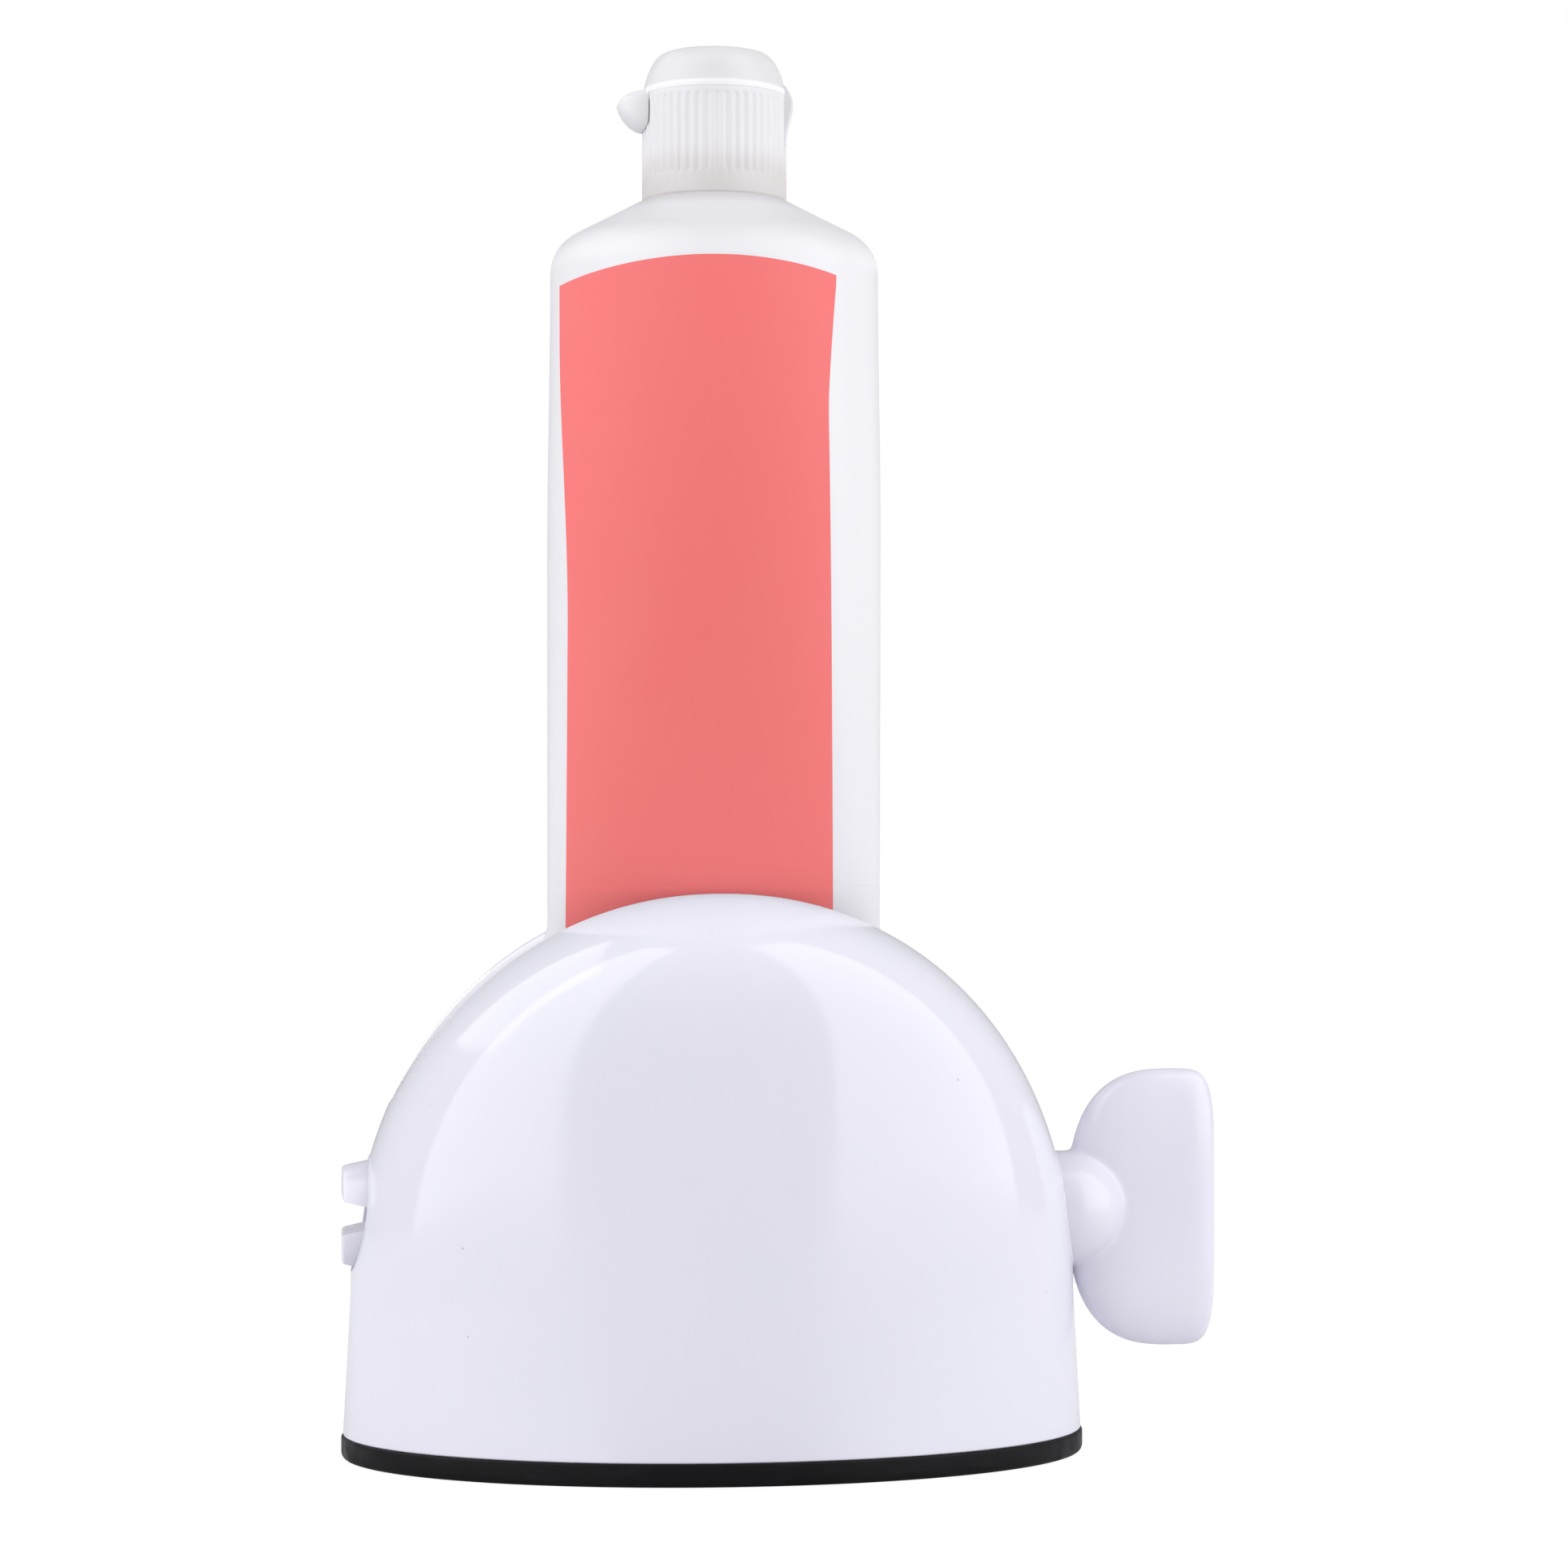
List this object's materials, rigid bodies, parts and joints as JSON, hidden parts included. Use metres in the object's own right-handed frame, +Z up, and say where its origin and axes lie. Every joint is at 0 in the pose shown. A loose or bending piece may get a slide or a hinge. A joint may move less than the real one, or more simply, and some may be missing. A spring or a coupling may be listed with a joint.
{
  "type": "toothpaste dispenser",
  "caption": "Free-standing half-dome stand with a winding key that rolls up the tail of an upright toothpaste tube with a flip-top cap.",
  "frame": {"origin": "middle of the underside of the rubber foot pad", "axes": "+Z up, the tube's axis; +X along the winding key, from the prongs to the wing; -Y is the front"},
  "size_m": [0.1087, 0.0604, 0.1725],
  "materials": {
    "housing": "glossy moulded white",
    "base_plate": "plain moulded",
    "base_screws": "zinc plated",
    "base_pad": "satin black",
    "winding_key": "glossy moulded white",
    "tube_film": "soft glossy laminate",
    "label": "satin print, plain red",
    "toothpaste": "paste",
    "tube_head": "satin moulded white",
    "cap": "satin moulded white"
  },
  "bodies": {
    "stand": {"housing": "housing", "base_plate": "base_plate", "base_screws": "base_screws", "base_pad": "base_pad", "tail_web": "tube_film", "label_tail": "label"},
    "roll": {"tail_roll": "tube_film"},
    "key": {"winding_key": "winding_key"},
    "tube": {"tube_sleeve": "tube_film", "tube_label": "label", "toothpaste": "toothpaste", "tube_head": "tube_head", "cap_body": "cap", "cap_hinge": "cap"},
    "lid": {"cap_lid": "cap"}
  },
  "joints": [
    {"name": "winding", "type": "hinge", "parent": "stand", "child": "roll", "pos_m": [0, 0, 0.02975], "axis": [-1, 0, 0], "range_deg": [0, 409.5]},
    {"name": "key_pull", "type": "slide", "parent": "roll", "child": "key", "axis": [1, 0, 0], "range_m": [0, 0.095]},
    {"name": "tube_feed", "type": "slide", "parent": "stand", "child": "tube", "axis": [0, 0, -1], "range_m": [0, 0.0707], "deforming": ["tube_sleeve", "tube_label", "toothpaste", "tail_web", "label_tail"]},
    {"name": "lid_open", "type": "hinge", "parent": "tube", "child": "lid", "pos_m": [0.0095, 0, 0.1671], "axis": [0, 1, 0], "range_deg": [0, 150], "deforming": ["cap_hinge"]}
  ],
  "couplings": [
    {"joint": "winding", "follows": "tube_feed", "rad_per_m": 101}
  ]
}
